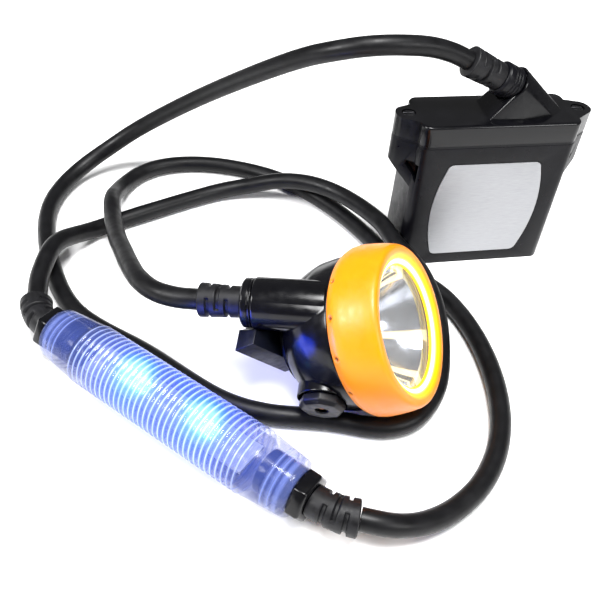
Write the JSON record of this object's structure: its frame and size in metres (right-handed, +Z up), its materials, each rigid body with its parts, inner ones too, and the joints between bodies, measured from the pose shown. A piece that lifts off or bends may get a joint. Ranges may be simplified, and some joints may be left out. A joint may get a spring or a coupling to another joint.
{
  "type": "corded cap lamp",
  "caption": "Corded cap lamp with belt battery pack, clip-on headpiece and in-line tube light.",
  "frame": {"origin": "centre of the box around the three units without their cables, on the surface they rest on", "axes": "+Z up; +X to the right along the layout's longest extent, from the tube light's far end to the battery pack; +Y away from the viewer"},
  "size_m": [0.2638, 0.2311, 0.1142],
  "materials": {
    "black_case": "gloss",
    "black_gloss": "high gloss",
    "black_matte": "matte",
    "grey_plastic": "matte",
    "amber": "gloss",
    "clear_lens": "clear",
    "clear_tube": "clear, ribbed",
    "mirror": "polished",
    "rubber_seal": "matte",
    "relief_rubber": "satin",
    "cable_rubber": "satin",
    "label": "brushed",
    "steel": "brushed",
    "nickel": "satin",
    "aluminium": "satin",
    "brass": "satin",
    "board": "solder mask",
    "cell_sleeve": "shrink sleeve",
    "emitter": "phosphor",
    "blue_emitter": "lit"
  },
  "bodies": {
    "lamp": {"battery_case": "black_case", "battery_lid": "black_case", "lid_gasket": "rubber_seal", "label_plate": "label", "lid_screw_left": "steel", "lid_screw_right": "steel", "battery_cell_1": "cell_sleeve", "battery_cell_2": "cell_sleeve", "battery_cell_3": "cell_sleeve", "cell_tray": "grey_plastic", "cell_strap_top": "nickel", "cell_strap_bottom": "nickel", "protection_board": "board", "battery_gland_nut": "black_gloss", "battery_strain_relief": "relief_rubber", "lamp_body": "black_gloss", "rear_plate": "grey_plastic", "helmet_clip": "black_matte", "bezel": "amber", "lens": "clear_lens", "lens_seal": "rubber_seal", "reflector": "mirror", "main_led": "emitter", "led_board": "aluminium", "control_board": "board", "tactile_switch": "grey_plastic", "switch_boot": "rubber_seal", "head_gland_nut": "black_gloss", "clip_screw_1": "steel", "clip_screw_2": "steel", "head_strain_relief": "relief_rubber", "tube_shell": "clear_tube", "tube_board": "aluminium", "tube_led_1": "blue_emitter", "tube_led_2": "blue_emitter", "tube_plug_left": "black_gloss", "tube_seal_left": "rubber_seal", "tube_plug_right": "black_gloss", "tube_seal_right": "rubber_seal", "tube_strain_relief_left": "relief_rubber", "tube_strain_relief_right": "relief_rubber", "battery_cable": "cable_rubber", "headpiece_cable": "cable_rubber"},
    "switch": {"switch_cap": "grey_plastic", "switch_stem": "steel"},
    "contact": {"contact_pin": "brass"}
  },
  "joints": [
    {"name": "switch_press", "type": "slide", "parent": "lamp", "child": "switch", "axis": [0.0536, 0.9455, 0.3211], "range_m": [0, 0.002], "stiffness_N_per_m": 800},
    {"name": "contact_press", "type": "slide", "parent": "switch", "child": "contact", "axis": [0.0536, 0.9455, 0.3211], "range_m": [0, 0.0015], "stiffness_N_per_m": 300}
  ]
}
